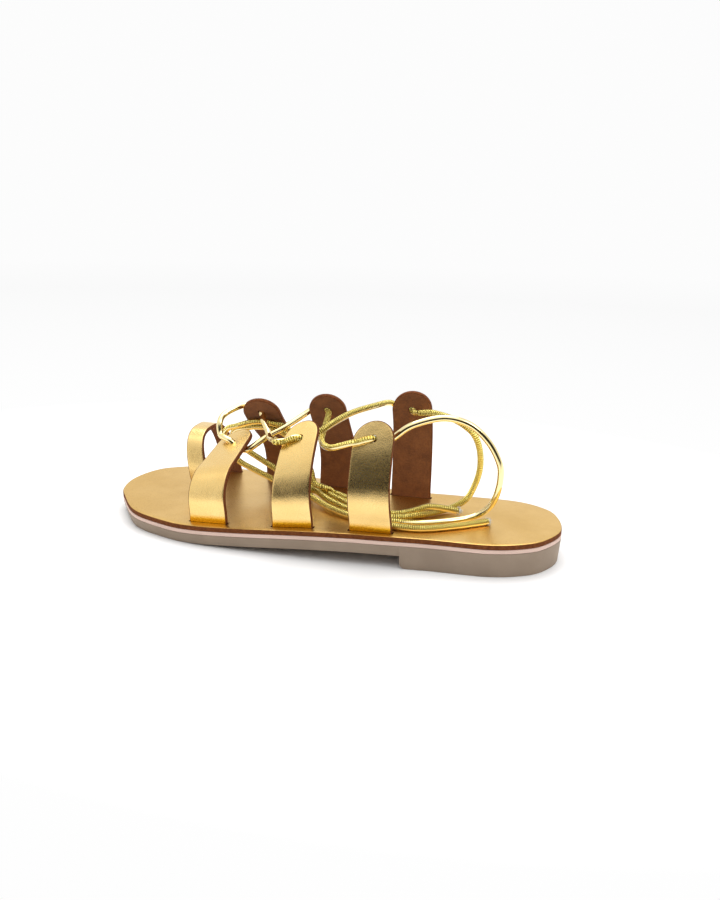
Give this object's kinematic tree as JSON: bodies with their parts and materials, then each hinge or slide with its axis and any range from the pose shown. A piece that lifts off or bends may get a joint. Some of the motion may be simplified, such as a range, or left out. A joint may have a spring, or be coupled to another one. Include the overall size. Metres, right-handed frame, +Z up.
{
  "type": "gladiator sandal",
  "caption": "Flat left sandal: layered sole with a low heel block, upright side straps laced together by a round cord with a bow, and a narrow loop over the big toe.",
  "frame": {"origin": "on the floor, under the middle of the footbed's length and width", "axes": "+X to the toe, +Y to the outer (lateral) side of the left foot, +Z up"},
  "size_m": [0.25, 0.0909, 0.077],
  "materials": {
    "rubber_outsole": "taupe rubber, matte",
    "midsole_layer": "pale pink layer, matte",
    "footbed_leather": "gold leather, satin",
    "strap_leather": "gold metallic leather, fine grain",
    "lace_cord": "gold rolled leather cord, glossy"
  },
  "bodies": {
    "root": {"outsole": "rubber_outsole", "midsole": "midsole_layer", "footbed": "footbed_leather", "strap_front_lateral": "strap_leather", "strap_middle_lateral": "strap_leather", "strap_rear_lateral": "strap_leather", "strap_front_medial": "strap_leather", "strap_middle_medial": "strap_leather", "strap_rear_medial": "strap_leather", "toe_loop": "strap_leather", "lace_crossings": "lace_cord", "lace_loop_lateral": "lace_cord", "lace_loop_medial": "lace_cord", "lace_bow_lateral": "lace_cord", "lace_bow_medial": "lace_cord", "lace_knot": "lace_cord", "lace_end_long": "lace_cord", "lace_end_short": "lace_cord"}
  },
  "joints": []
}
